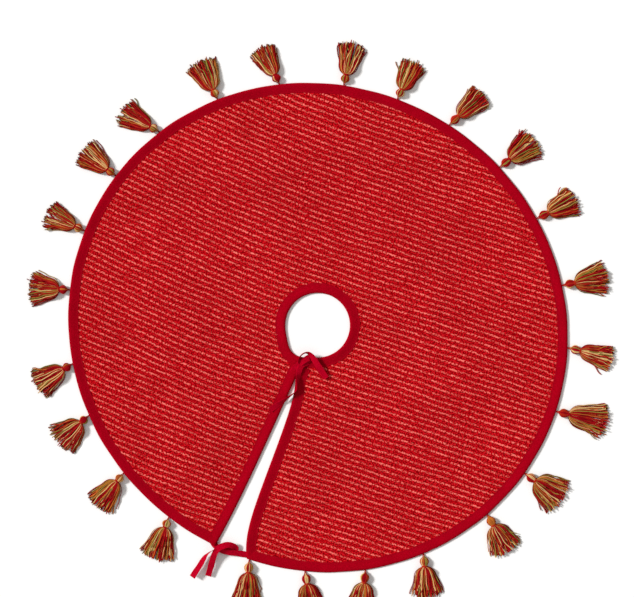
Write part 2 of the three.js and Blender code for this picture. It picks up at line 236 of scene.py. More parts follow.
# ---- materials ----------------------------------------------------------------------------------
class Surface:
    """A node material with short calls for the nodes that it needs."""

    def __init__(self, name, roughness, specular, sheen=0.0, sheen_tint=(1, 1, 1, 1)):
        self.material = bpy.data.materials.new(name)
        self.material.use_nodes = True
        self.tree = self.material.node_tree
        self.shader = self.tree.nodes["Principled BSDF"]
        self.shader.inputs["Roughness"].default_value = roughness
        self.shader.inputs["Specular IOR Level"].default_value = specular
        self.shader.inputs["Sheen Weight"].default_value = sheen
        self.shader.inputs["Sheen Tint"].default_value = sheen_tint
        self.shader.inputs["Sheen Roughness"].default_value = 0.5

    def put(self, socket, value):
        if isinstance(value, bpy.types.NodeSocket):
            self.tree.links.new(value, socket)
        else:
            socket.default_value = value

    def math(self, op, a, b=0.0, c=0.0, clamp=False):
        node = self.tree.nodes.new("ShaderNodeMath")
        node.operation, node.use_clamp = op, clamp
        for socket, value in zip(node.inputs, (a, b, c)):
            self.put(socket, value)
        return node.outputs[0]

    def field(self, name):
        node = self.tree.nodes.new("ShaderNodeAttribute")
        node.attribute_name = name
        return node

    def split(self, vector):
        node = self.tree.nodes.new("ShaderNodeSeparateXYZ")
        self.put(node.inputs[0], vector)
        return node.outputs

    def join(self, x, y, z=0.0):
        node = self.tree.nodes.new("ShaderNodeCombineXYZ")
        for socket, value in zip(node.inputs, (x, y, z)):
            self.put(socket, value)
        return node.outputs[0]

    def noise(self, vector, scale=1.0, detail=2.0, rough=0.5):
        node = self.tree.nodes.new("ShaderNodeTexNoise")
        self.put(node.inputs["Vector"], vector)
        node.inputs["Scale"].default_value = scale
        node.inputs["Detail"].default_value = detail
        node.inputs["Roughness"].default_value = rough
        return node.outputs[0]

    def patches(self, u, v, along, across, detail=2.0, rough=0.5, layer=0.0):
        """Noise on the cloth whose patches are about this long and wide, in millimetres."""
        place = self.join(self.math("DIVIDE", u, along), self.math("DIVIDE", v, across), layer)
        return self.noise(place, 1.0, detail, rough)

    def ramp(self, value, lo, hi, out_lo=0.0, out_hi=1.0):
        node = self.tree.nodes.new("ShaderNodeMapRange")
        node.interpolation_type = "SMOOTHSTEP"
        for socket, v in zip(node.inputs[:5], (value, lo, hi, out_lo, out_hi)):
            self.put(socket, v)
        return node.outputs[0]

    def mix(self, share, a, b):
        node = self.tree.nodes.new("ShaderNodeMix")
        node.data_type = "RGBA"
        self.put(node.inputs[0], share)
        self.put(node.inputs[6], a)
        self.put(node.inputs[7], b)
        return node.outputs[2]

    def scaled(self, colour, by):
        node = self.tree.nodes.new("ShaderNodeVectorMath")
        node.operation = "SCALE"
        self.put(node.inputs[0], colour)
        self.put(node.inputs["Scale"], by)
        return node.outputs[0]

    def bump(self, height, distance, strength=1.0):
        node = self.tree.nodes.new("ShaderNodeBump")
        node.inputs["Strength"].default_value = strength
        node.inputs["Distance"].default_value = distance
        self.put(node.inputs["Height"], height)
        self.put(self.shader.inputs["Normal"], node.outputs[0])

    def colour(self, value):
        self.put(self.shader.inputs["Base Color"], value)
        return self.material


WEFT_PITCH, WARP_PITCH = 1.725, 2.2  # threads of the face cloth's ground
STRAND_PITCH = 9.6  # one turn of the pale strand along its stripe


def face_material():
    """Red ribbed cloth with pale, broken stripes."""
    s = Surface("striped_cloth", 0.95, 0.02, 0.015, srgb(255, 110, 100))
    u, v, _ = s.split(s.field("cloth").outputs["Vector"])
    fray = s.patches(u, v, 6.0, 3.0, 3.0, 0.6)
    phase = s.math("FRACT", s.math("DIVIDE", v, STRIPE_PITCH))
    off = s.math("MULTIPLY", s.math("SUBTRACT", phase, 0.5), STRIPE_PITCH)
    away = s.math("ABSOLUTE", off)
    ragged = s.math("ADD", away, s.math("MULTIPLY", s.math("SUBTRACT", fray, 0.5), 2.6))
    stripe = s.ramp(ragged, 3.3, 1.0)
    # the stripe's yarn is plied from a pale strand and a red one, so pale dashes slant along it
    drift = s.patches(u, v, 40.0, 9.0)
    turn = s.math("ADD", s.math("DIVIDE", u, STRAND_PITCH), s.math("DIVIDE", off, 9.0))
    turn = s.math("ADD", turn, s.math("MULTIPLY", drift, 5.0))
    ply = s.math("SINE", s.math("MULTIPLY", turn, 2 * math.pi))
    speck = s.patches(u, v, 4.3, 3.6, 0.0)
    speck = s.math("MULTIPLY", s.math("SUBTRACT", speck, 0.5), 10.0)
    pale = s.ramp(s.math("ADD", ply, speck), -0.9, 0.9)
    # longer stretches where a stripe is nearly worn away
    worn = s.patches(u, v, 42.0, 11.0, 3.0, 0.6)
    worn = s.ramp(worn, 0.34, 0.6, 0.36, 0.92)
    # threads of the ground: fine weft ribs crossed by the warp
    weft = s.math("SINE", s.math("MULTIPLY", v, 2 * math.pi / WEFT_PITCH))
    warp = s.math("SINE", s.math("MULTIPLY", u, 2 * math.pi / WARP_PITCH))
    weave = s.math("MULTIPLY", weft, warp)
    slub = s.patches(u, v, 7.0, 2.2, 3.0, 0.65)
    middle = s.ramp(s.math("SUBTRACT", STRIPE_PITCH / 2, away), 1.9, 0.3)
    # ground: dark and bright wefts that change from pick to pick
    coarse = s.patches(u, v, 3.5, 3.1, 0.0)
    other = s.patches(u, v, 3.4, 3.0, 0.0, layer=7.0)
    mottle = s.ramp(coarse, 0.42, 0.58)
    ground = s.mix(mottle, srgb(122, 0, 4), srgb(196, 0, 14))
    ground = s.mix(s.ramp(other, 0.54, 0.72), ground, srgb(214, 20, 34))
    ground = s.mix(s.ramp(other, 0.46, 0.32), ground, srgb(122, 0, 4))
    ground = s.mix(s.math("MULTIPLY", middle, s.ramp(coarse, 0.45, 0.7)), ground, srgb(204, 26, 34))
    thread = s.mix(pale, srgb(170, 6, 16), srgb(252, 126, 114))
    colour = s.mix(s.math("MULTIPLY", stripe, worn), ground, thread)
    cloudy = s.patches(u, v, 190.0, 190.0, 3.0)
    colour = s.scaled(colour, s.ramp(cloudy, 0.25, 0.75, 0.94, 1.06))
    height = s.math("ADD", s.math("MULTIPLY", weave, 0.16), s.math("MULTIPLY", slub, 0.5))
    height = s.math("ADD", height, s.math("MULTIPLY", s.math("MULTIPLY", stripe, pale), 0.25))
    s.bump(height, 0.0006)
    s.put(s.shader.inputs["Roughness"], s.ramp(slub, 0.2, 0.8, 0.98, 0.86))
    return s.colour(colour)


def plain_material(name, dark, light, thread, depth, roughness=0.93, specular=0.015, sheen=0.01):
    """Close plain weave with the odd thicker thread."""
    s = Surface(name, roughness, specular, sheen, srgb(255, 90, 90))
    u, v, _ = s.split(s.field("cloth").outputs["Vector"])
    a = s.math("SINE", s.math("MULTIPLY", u, 2 * math.pi / thread))
    b = s.math("SINE", s.math("MULTIPLY", v, 2 * math.pi / thread))
    weave = s.math("MULTIPLY", a, b)
    slub = s.patches(u, v, 5.0, 1.6, 3.0, 0.6)
    cross = s.patches(u, v, 1.6, 5.0, 3.0, 0.6)
    shade = s.math("ADD", s.math("MULTIPLY", slub, 0.5), s.math("MULTIPLY", cross, 0.5))
    shade = s.math("ADD", s.ramp(shade, 0.36, 0.64), s.math("MULTIPLY", weave, 0.12), clamp=True)
    cloudy = s.ramp(s.patches(u, v, 60.0, 60.0, 3.0), 0.25, 0.75, 0.93, 1.07)
    colour = s.scaled(s.mix(shade, srgb(*dark), srgb(*light)), cloudy)
    height = s.math("ADD", s.math("MULTIPLY", weave, 0.35), s.math("MULTIPLY", shade, 0.65))
    s.bump(height, depth)
    s.put(s.shader.inputs["Roughness"], s.ramp(shade, 0.0, 1.0, roughness + 0.03, roughness - 0.08))
    return s.colour(colour)


def yarn_material(name, ply, depth):
    """Soft plied yarn: its colour rides on the strand, with painted shade darkening the grooves
    between the plies.
    """
    s = Surface(name, 0.92, 0.03, 0.03, srgb(255, 220, 190))
    along, c, n = s.split(s.field("strand").outputs["Vector"])
    turn = s.math("MULTIPLY", along, 2 * math.pi / ply)
    twist = s.math(
        "ADD",
        s.math("MULTIPLY", s.math("SINE", turn), c),
        s.math("MULTIPLY", s.math("COSINE", turn), n),
    )
    # painted shade: the yarn's colour is darkened in the grooves between the plies; the fuzz noise
    # below varies its tone at random
    groove = s.ramp(twist, -1.0, 0.1, 0.38, 1.0)
    fuzz = s.noise(s.join(s.math("DIVIDE", along, 2.4), c, n), 1.6, 3.0, 0.6)
    shade = s.math("MULTIPLY", groove, s.ramp(fuzz, 0.3, 0.7, 0.8, 1.12))
    s.bump(s.math("ADD", s.math("MULTIPLY", groove, 0.7), s.math("MULTIPLY", fuzz, 0.3)), depth)
    s.put(s.shader.inputs["Roughness"], s.ramp(fuzz, 0.2, 0.8, 0.97, 0.86))
    return s.colour(s.scaled(s.field("yarn").outputs["Color"], shade))


# ---- camera and light ---------------------------------------------------------------------------
VIEW_TURN = math.radians(22.5)
VIEW_MIDDLE = (-0.0297, 0.0652)
VIEW_WIDTH = 1.5651
CAMERA_HEIGHT = 4.0
SENSOR = 36.0
camera = bpy.data.objects.new("camera", bpy.data.cameras.new("camera"))
bpy.context.scene.collection.objects.link(camera)
camera.location = (*VIEW_MIDDLE, CAMERA_HEIGHT)
camera.rotation_euler = (0, 0, VIEW_TURN)
camera.data.sensor_width = SENSOR
camera.data.lens = SENSOR * CAMERA_HEIGHT / VIEW_WIDTH
camera.data.clip_end = 50
bpy.context.scene.camera = camera
bpy.context.scene.view_settings.view_transform = "Standard"

SUN_FROM = VIEW_TURN - math.radians(21)  # its light runs this way over the floor
SUN_HEIGHT = math.radians(38)
SUN_STRENGTH, SUN_SPREAD = 3.45, math.radians(11)
SKY_COLOUR, SKY_STRENGTH = (1, 0.985, 0.97, 1), 0.46
sun = bpy.data.objects.new("window_light", bpy.data.lights.new("window_light", "SUN"))
bpy.context.scene.collection.objects.link(sun)
sun.data.energy = SUN_STRENGTH
sun.data.angle = SUN_SPREAD
sun.rotation_euler = (0, math.pi / 2 - SUN_HEIGHT, SUN_FROM + math.pi)
world = bpy.data.worlds.new("studio")
bpy.context.scene.world = world
world.use_nodes = True
world.node_tree.nodes["Background"].inputs["Color"].default_value = SKY_COLOUR
world.node_tree.nodes["Background"].inputs["Strength"].default_value = SKY_STRENGTH

# ---- ties ---------------------------------------------------------------------------------------
TIE_WIDTH, TIE_THICKNESS, TIE_STATIONS = 15.0, 1.3, 150
# x, y, z of the middle of the tape and how far it is rolled out of level, in degrees
OUTER_RIGHT = [
    (63, -581, 3, 0), (52.5, -584.5, 3.2, 0), (40.5, -587.5, 4.6, -2), (28.5, -590.5, 6.8, -6),
    (16.5, -593.5, 9.4, -12), (4.5, -596.5, 11.8, -24), (-6.5, -598.5, 14, -42),
    (-16.5, -600, 15.2, -60), (-26, -602.5, 16.2, -76), (-33.5, -610.5, 16.8, -88),
    (-38.5, -620, 16.8, -104), (-42, -633, 16.2, -136), (-44.5, -650.5, 15.2, -154),
    (-48, -668.5, 14.4, -162), (-51, -685.5, 13.4, -166),
]
OUTER_LEFT = [
    (-52.5, -578.5, 3, 0), (-40, -586, 3, 0), (-28.5, -593.5, 3.2, 0), (-17.5, -597, 3.4, 0),
    (-6.5, -596, 3.2, 0), (4.5, -594, 2.8, 0), (14, -591, 2.8, 0), (21, -586, 4.6, 0),
    (20.5, -579.5, 9.6, 4), (13.5, -576.5, 15, 10), (4.5, -576.5, 18.8, 14),
    (-4.5, -580, 21.2, 18), (-13, -587, 22.2, 20), (-19.5, -596.5, 22.4, 14), (-22, -608, 20.4, 2),
    (-21.5, -622, 16.4, -6), (-19.5, -637.5, 13.2, -10), (-17.5, -653.5, 10.8, -10),
    (-16, -669, 9, -6),
]
INNER_LEFT = [
    (-18, -139.5, 3.6, 0), (-16, -126, 4.2, 0), (-13, -113, 7.6, 2), (-8.5, -101.5, 12, 4),
    (-2.5, -90.5, 14.4, 6), (4, -81.5, 14.2, 4), (9.5, -76, 12.4, 0), (9.5, -80.5, 9.8, 0),
    (2, -90.5, 9.4, 0), (-7, -95.5, 10.4, 20), (-12.5, -91.5, 13, 66), (-13.5, -84, 15.6, 80),
    (-10.5, -75.5, 16.8, 80), (-5, -69, 17.4, 78), (2.5, -67, 17.6, 62), (11.5, -70, 17.6, 36),
    (21.5, -76, 17.2, 18), (32.5, -84, 16.2, 8), (44, -92, 14.8, 4), (55, -99.5, 13.2, 2),
    (66.5, -107.5, 11.6, 0),
]
INNER_RIGHT = [
    (23, -81, 4, 0), (15, -84.5, 5, 0), (7, -90.5, 7.4, 0), (0.5, -98, 10.4, -4),
    (-2.5, -107.5, 12.6, -10), (-1.5, -119, 13, -20), (1, -131, 13, -44), (4.5, -144, 13, -70),
    (9, -156, 13, -86), (9.5, -165, 13, -90), (4, -176.5, 12.8, -80), (-3.5, -188.5, 12.2, -70),
    (-9.5, -199, 11.4, -54), (-17, -210, 10.4, -32), (-24.5, -222, 9.4, -20), (-31, -232, 8.7, -14),
]
tape_cloth = plain_material("binding_cloth", (146, 0, 15), (174, 1, 28), 1.15, 0.0003)
tie_cloth = plain_material("tie_cloth", (160, 0, 24), (200, 4, 40), 1.05, 0.0003)


def tie(name, points):
    """A limp woven tape along its own knotted path."""
    line = curve_through(points, TIE_STATIONS)
    path, roll = line[:, :3], np.radians(line[:, 3])
    t = np.gradient(path, axis=0)
    t /= np.linalg.norm(t, axis=1, keepdims=True)
    level = np.cross((0, 0, 1), t)
    level /= np.linalg.norm(level, axis=1, keepdims=True)
    up = np.cross(t, level)
    across = level * np.cos(roll)[:, None] + up * np.sin(roll)[:, None]
    over = up * np.cos(roll)[:, None] - level * np.sin(roll)[:, None]
    w, h = TIE_WIDTH / 2, TIE_THICKNESS / 2
    # rounded woven edges a little thicker than the flat of the tape
    half = [
        (-w, 0.0), (-w + 0.25, h * 0.8), (-w + 0.9, h * 1.05), (-w + 2, h * 0.85),
        (-w / 3, h * 0.8), (w / 3, h * 0.8),
        (w - 2, h * 0.85), (w - 0.9, h * 1.05), (w - 0.25, h * 0.8), (w, 0.0),
    ]
    section = np.array(half + [(a, -b) for a, b in half[-2:0:-1]])
    run = np.r_[0, np.cumsum(np.linalg.norm(np.diff(path, axis=0), axis=1))]
    width = 1 + 0.03 * np.sin(run / 9.0) + 0.02 * np.sin(run / 3.7 + 1)
    # the tape cups a little to one side, then to the other
    cup = 0.5 * np.sin(run / 13.0 + len(points))
    height = section[:, 1] + cup[:, None] * (1 - (section[:, 0] / w) ** 2)
    co = (
        path[:, None]
        + across[:, None] * (section[:, 0] * width[:, None])[..., None]
        + over[:, None] * height[..., None]
    )
    k = len(section)
    at = np.arange(TIE_STATIONS * k).reshape(TIE_STATIONS, k)
    nxt = np.roll(at, -1, 1)
    quads = np.stack([at[:-1], at[1:], nxt[1:], nxt[:-1]], -1).reshape(-1, 4)
    field = np.zeros((TIE_STATIONS, k, 3))
    field[..., 0] = run[:, None]
    field[..., 1] = section[:, 0]
    o = piece(name + "_tape", co.reshape(-1, 3), [quads, at[:1, ::-1], at[-1:]], "skirt", tie_cloth,
              "tie_tape", [name], {"cloth": field.reshape(-1, 3)})


tie("outer_tie_right", OUTER_RIGHT)
tie("outer_tie_left", OUTER_LEFT)
tie("inner_tie_left", INNER_LEFT)
tie("inner_tie_right", INNER_RIGHT)

# ---- face and lining ----------------------------------------------------------------------------
# Direction of the stripes, in degrees from +X: it turns a little from the left side to the right.
XS = np.linspace(-700, 700, 281)
TILT = -1.5 + 5.5 * ease(-400, 60, XS)
DRIFT = np.cumsum(np.tan(np.radians(TILT))) * (XS[1] - XS[0])
DRIFT -= np.interp(0, XS, DRIFT)

# Undulations: direction, length and start of each, then the same of where it is strong.
waves = np.random.default_rng(11)
WAVE = [
    (waves.uniform(0, np.pi), waves.uniform(90, 260), waves.uniform(0, 6.28),
     waves.uniform(0, np.pi), waves.uniform(300, 620), waves.uniform(0, 6.28))
    for _ in range(9)
]


def creases(x, y):
    """Soft undulation of cloth that has been unfolded, nothing at the bound edges."""
    z = np.zeros_like(x)
    for turn, length, start, turn2, length2, start2 in WAVE:
        wave = np.sin(2 * np.pi * (x * math.cos(turn) + y * math.sin(turn)) / length + start)
        where = 0.5 + 0.5 * np.sin(
            2 * np.pi * (x * math.cos(turn2) + y * math.sin(turn2)) / length2 + start2
        )
        z += wave * where**2 * length / 260
    return 0.75 * (z + 1.2) * ease(22, 110, edge_distance(x, y))


def inside_grid(step_x, step_v, inset):
    """Points of a grid whose rows follow the stripes, and the quads that lie inside the cloth."""
    xs = np.arange(-640, 641, step_x)
    vs = np.arange(-690, 691, step_v)
    x, v = np.meshgrid(xs, vs)
    bend = 1.1 * np.sin(x / 61 + v / 47) + 0.8 * np.sin(x / 23.0 - v / 31)
    y = v + np.interp(x, XS, DRIFT) + bend
    mid = [0.25 * (a[:-1, :-1] + a[1:, :-1] + a[:-1, 1:] + a[1:, 1:]) for a in (x, y)]
    keep = edge_distance(*mid) > inset
    at = np.arange(x.size).reshape(x.shape)
    quads = np.stack([at[:-1, :-1], at[:-1, 1:], at[1:, 1:], at[1:, :-1]], -1)[keep]
    used, quads = np.unique(quads, return_inverse=True)
    quads = quads.reshape(-1, 4)
    x, y, v = x.ravel()[used], y.ravel()[used], v.ravel()[used]
    short = inset - edge_distance(x, y)
    gx = edge_distance(x + 0.5, y) - edge_distance(x - 0.5, y)
    gy = edge_distance(x, y + 0.5) - edge_distance(x, y - 0.5)
    push = np.where(short > 0, short, 0) / np.maximum(np.hypot(gx, gy), 0.3)
    return x + gx * push, y + gy * push, v, quads


x, y, v, quads = inside_grid(8.0, STRIPE_PITCH / 8, CLOTH_INSET)
away = np.abs(np.mod(v / STRIPE_PITCH, 1) - 0.5) * STRIPE_PITCH
# a rib along each stripe and a lower one half-way between two
relief = 0.75 * np.exp(-((away / 1.9) ** 2))
relief += 0.35 * np.exp(-(((STRIPE_PITCH / 2 - away) / 1.5) ** 2))
relief *= 0.25 + 0.75 * ease(20, 30, edge_distance(x, y))
co = np.stack([x, y, FACE_TOP - 0.1 + relief + creases(x, y)], 1)
face = piece("face_cloth", co, [quads], "skirt", face_material(), "face_cloth", ["face_panel"],
             {"cloth": np.stack([x, v, 0 * x], 1)}, closed=False)

x, y, v, quads = inside_grid(12.0, 12.0, CLOTH_INSET)
lift = 0.35 + 0.6 * ease(30, 22, edge_distance(x, y)) + 0.45 * creases(x, y)
co = np.stack([x, y, lift], 1)
lining_cloth = plain_material("lining_weave", (158, 22, 32), (184, 44, 52), 1.3, 0.00025)
lining = piece("lining_cloth", co, [quads[:, ::-1]], "skirt", lining_cloth, "lining_cloth",
               ["lining_panel"], {"cloth": np.stack([x, y, 0 * x], 1)}, closed=False)

# ---- binding ------------------------------------------------------------------------------------
# The folded tape's section: distance in from the edge and height, outer side then inner side.
OUTER = np.array([
    (25.0, 0.95), (24.6, 0.2), (15, 0.12), (6, 0.12), (2.0, 0.35), (0.5, 1.3), (0.0, 2.9),
    (0.5, 4.6), (2.0, 6.5), (4.2, TAPE_CROWN), (8, TAPE_CROWN - 0.35), (13, 6.15), (18.5, 4.95),
    (21.6, 4.3), (22.8, 4.2), (24.0, 4.6), (24.9, 4.5), (25.0, 4.1),
])
INNER = np.array([
    (24.6, 1.0), (23, 0.85), (15, 0.85), (7, 0.85), (3.2, 1.0), (1.9, 1.6), (1.4, 2.9), (1.8, 4.3),
    (3.0, 5.0), (5, 5.3), (9, 5.0), (14, 4.4), (19, 3.95), (21.6, 3.75), (22.8, 3.7), (23.8, 3.8),
    (24.3, 3.85), (24.7, 3.95),
])


def tape(points, inward, seed, height=1.0):
    """A folded tape along an edge, as (points, faces, fields) and its stitch line."""
    n, k = len(points), len(OUTER)
    run = np.r_[0, np.cumsum(np.linalg.norm(np.diff(points, axis=0), axis=1))]
    rng = np.random.default_rng(seed)
    pucker = sum(
        rng.uniform(0.5, 1) * np.sin(2 * np.pi * run / length + rng.uniform(0, 6.28))
        for length in (17, 26, 41, 90)
    )
    section = np.vstack([OUTER, INNER[::-1]])
    d = np.repeat(section[None, :, 0], n, 0)
    z = np.repeat(section[None, :, 1], n, 0)
    seam = ease(4, 22, section[:, 0])
    top = (section[:, 1] > 2.5).astype(float)
    d = d + 0.32 * pucker[:, None] * seam
    z = z + top * (0.14 * pucker[:, None] * (0.3 + 0.7 * seam) + 0.12 * np.sin(run / 7.7)[:, None])
    z = np.where(z > 2.5, 2.5 + (z - 2.5) * height, z)
    co = np.empty((n, 2 * k, 3))
    co[..., :2] = points[:, None] + inward[:, None] * d[..., None]
    co[..., 2] = z
    at = np.arange(n * 2 * k).reshape(n, 2 * k)
    nxt = np.roll(at, -1, 1)
    quads = np.stack([at[:-1], at[1:], nxt[1:], nxt[:-1]], -1).reshape(-1, 4)
    strip = np.arange(k - 1)
    cap = np.stack([strip, strip + 1, 2 * k - 2 - strip, 2 * k - 1 - strip], 1)
    width = np.r_[0, np.cumsum(np.linalg.norm(np.diff(section, axis=0), axis=1))]
    field = np.zeros((n, 2 * k, 3))
    field[..., 0], field[..., 1] = run[:, None], width
    sewn = co[:, 13] * 0.3 + co[:, 14] * 0.7  # in the dip that the seam pulls into the tape
    faces = [quads, cap, at[-1, 0] + cap[:, ::-1]]
    return (co.reshape(-1, 3), faces, {"cloth": field.reshape(-1, 3)}), sewn


def normals_of(points, towards):
    """Unit normals of a line in the floor's plane, on the side of the given directions."""
    t = np.gradient(points, axis=0)
    n = np.stack([-t[:, 1], t[:, 0]], 1)
    n /= np.linalg.norm(n, axis=1, keepdims=True)
    return n * np.sign((n * towards).sum(1, keepdims=True))


corner_right = math.degrees(math.atan2(-HEM_AT_SLIT, float(slit_right(HEM_AT_SLIT)) - 0.5))
corner_left = math.degrees(math.atan2(-HEM_AT_SLIT, float(slit_left(HEM_AT_SLIT)) + 0.5)) + 360
angles = np.linspace(corner_right, corner_left, 620)
r = hem_radius(angles) + 0.5 * np.sin(np.radians(angles) * 31) * np.sin(np.radians(angles) * 4.3)
round_ = np.stack([np.cos(np.radians(angles)), np.sin(np.radians(angles))], 1)
hem_line = r[:, None] * round_
made, hem_seam = tape(hem_line, normals_of(hem_line, -round_), 3)
hem = piece("hem_tape", *made[:2], "skirt", tape_cloth, "binding_tape", ["hem_binding"], made[2])

angles = np.linspace(-89.4, 269.4, 110)
round_ = np.stack([np.cos(np.radians(angles)), np.sin(np.radians(angles))], 1)
hole_line = hole_radius(angles)[:, None] * round_ + (HOLE_X, HOLE_Y)
made, hole_seam = tape(hole_line, normals_of(hole_line, round_), 4)
piece("hole_tape", *made[:2], "skirt", tape_cloth, "binding_tape", ["hole_binding"], made[2])

lengths = np.linspace(103, HEM_AT_SLIT - 3, 100)
seams = [hem_seam, hole_seam]
slit_sides = (("left", slit_left, (-1, 0), 5), ("right", slit_right, (1, 0), 6))
for side, edge, towards, seed in slit_sides:
    line = np.stack([edge(lengths), -lengths], 1)
    made, seam = tape(line, normals_of(line, np.array([towards])), seed, 0.93)
    piece("slit_tape_" + side, *made[:2], "skirt", tape_cloth, "binding_tape",
          ["slit_binding_" + side], made[2])
    seams.append(seam[3:-8])

# ---- stitching along the inner edge of the binding ----------------------------------------------
STITCH_PITCH, STITCH_LENGTH = 4.2, 3.0
lines = []
for seam in seams:
    run = np.r_[0, np.cumsum(np.linalg.norm(np.diff(seam, axis=0), axis=1))]
    starts = np.arange(2, run[-1] - 4, STITCH_PITCH)
    share = np.linspace(0, 1, 5)
    at = starts[:, None] + share * STITCH_LENGTH
    line = np.stack([np.interp(at, run, seam[:, k]) for k in range(3)], -1)
    line[..., 2] += 0.32 * np.sin(np.pi * share) - 0.1
    lines.append(line)
lines = np.concatenate(lines)
thick = np.broadcast_to(0.36 * np.sqrt(np.sin(np.pi * np.linspace(0.06, 0.94, 5))), lines.shape[:2])
thread = np.tile(srgb(190, 14, 36), (len(lines), 1))
co, faces, fields = tubes(lines, thick, 5, thread)
stitch_yarn = yarn_material("sewing_thread", 1.4, 0.0001)
piece("binding_stitches", co, faces, "skirt", stitch_yarn, "binding_tape", (), fields)

# ---- tassels ------------------------------------------------------------------------------------
CRIMSON, RUST, GOLD = srgb(170, 8, 22), srgb(190, 44, 26), srgb(204, 116, 46)
OLIVE, CREAM = srgb(164, 142, 62), srgb(240, 194, 128)
YARNS = np.array([CRIMSON, RUST, GOLD, OLIVE, CREAM])
SHARES = [0.38, 0.22, 0.14, 0.12, 0.14]
HEAD_YARNS = 13
NECK_FROM, NECK_TO = 19.0, 24.0  # from the bar, on a head drawn at full length
NECK_RADIUS, NECK_TURNS = 6.3, 4.6
FOLD_TOP = 3.3  # the fold's reach past the bar, on a head drawn at full length
HEAD_TOP = 7.2  # and its reach once the head is set in place, towards the hem
# hem to the middle of the neck: the tassels of the second half are tied closer to the hem
NECK_AT = [31.0] * 12 + [25.5] * 12
yarn = yarn_material("tassel_yarn", 3.2, 0.0004)
cord_yarn = yarn_material("tassel_cord", 2.4, 0.0003)


def shades(rng, count, together):
    """Yarn colours, a few neighbours alike."""
    picked = []
    while len(picked) < count:
        picked += [rng.choice(len(YARNS), p=SHARES)] * int(rng.integers(1, together + 1))
    tone = rng.uniform(0.86, 1.1, count)[:, None]
    return np.clip(YARNS[picked[:count]] * np.hstack([tone, tone, tone, np.ones_like(tone)]), 0, 1)


def along_head(x, neck_at):
    """Full-length head coordinate to millimetres from the bar, with the neck where it belongs."""
    squeeze = (neck_at - HEM_TO_BAR + HEAD_TOP) / (0.5 * (NECK_FROM + NECK_TO) + FOLD_TOP)
    return (x + FOLD_TOP) * squeeze - HEAD_TOP


def head_strands(rng, neck_at):
    """Yarn folded over the loop's bar, its legs bulging round the head and drawn in at the neck."""
    loops, steps = HEAD_YARNS, 19
    phi = np.radians(np.linspace(12, 168, loops))
    at = [0, 3, 7, 11, 16, 20, 23]
    half_width = [4.0, 7.6, 9.8, 10.0, 8.2, 5.8, 5.5]
    half_height = [3.2, 5.6, 6.7, 6.8, 6.4, 5.6, 5.4]
    xs = np.linspace(0, 23, steps)[::-1]
    b, c = np.interp(xs, at, half_width), np.interp(xs, at, half_height)
    legs = []
    for sign in (1, -1):
        leg = np.stack([
            np.broadcast_to(xs, (loops, steps)),
            np.cos(phi)[:, None] * b,
            sign * np.sin(phi)[:, None] * c,
        ], -1)
        legs.append(leg)
    bend = np.radians(np.array([60, 30, 0, -30, -60]))
    turn = np.stack([
        np.broadcast_to(-FOLD_TOP * np.cos(bend), (loops, 5)),
        np.cos(phi)[:, None] * np.full(5, 2.5),
        FOLD_TOP * np.sin(bend)[None] * (0.55 + 0.45 * np.sin(phi))[:, None],
    ], -1)
    path = np.concatenate([legs[0], turn, legs[1][:, ::-1]], 1)
    path[..., 1:] += rng.normal(0, 0.16, (loops, 1, 2))
    radius = np.interp(path[..., 0], [-4, 0, 3, 9, 17, 23], [0.8, 0.9, 1.15, 1.4, 1.25, 0.95])
    path[..., 0] = along_head(path[..., 0], neck_at)
    return tubes(path, radius, 6, shades(rng, loops, 2), first=(0, 1, 0))


def head_core(neck_at):
    """What fills the head under its outer yarns, coloured dark as painted shade between them."""
    steps, ring = 8, 10
    xs = np.linspace(3, 22.5, steps)
    b = np.interp(xs, [3, 7, 11, 17, 22.5], [5.4, 8.3, 8.6, 6.6, 4.4])
    c = np.interp(xs, [3, 7, 11, 17, 22.5], [3.2, 5.3, 5.5, 5.1, 4.4])
    a = np.arange(ring) * 2 * np.pi / ring
    co = np.stack([
        np.repeat(xs[:, None], ring, 1), b[:, None] * np.cos(a), c[:, None] * np.sin(a),
    ], -1)
    at = np.arange(steps * ring).reshape(steps, ring)
    nxt = np.roll(at, -1, 1)
    quads = np.stack([at[:-1], nxt[:-1], nxt[1:], at[1:]], -1).reshape(-1, 4)
    # painted shade: one dark red-brown all over, for the shadow seen between the outer yarns
    dark = np.tile(srgb(120, 22, 20), (steps * ring, 1))
    co[..., 0] = along_head(co[..., 0], neck_at)
    field = np.zeros((steps * ring, 3))
    field[:, 0], field[:, 1] = co[..., 0].ravel(), 1
    return co.reshape(-1, 3), [quads, at[:1, ::-1], at[-1:]], {"strand": field, "yarn": dark}


def neck_wrap(rng, neck_at):
    """The yarn wound round the neck, its two ends tucked in."""
    steps = 74
    a = np.linspace(0, NECK_TURNS * 2 * np.pi, steps)
    path = np.stack([
        along_head(np.linspace(NECK_FROM + 0.4, NECK_TO - 0.4, steps), neck_at),
        NECK_RADIUS * np.cos(a), NECK_RADIUS * np.sin(a),
    ], -1)[None]
    path[0, :3, 1:] *= 0.8
    path[0, -3:, 1:] *= 0.8
    colour = CRIMSON if rng.random() < 0.45 else RUST
    return tubes(path, np.full((1, steps), 0.95), 6, [colour], first=(1, 0, 0))


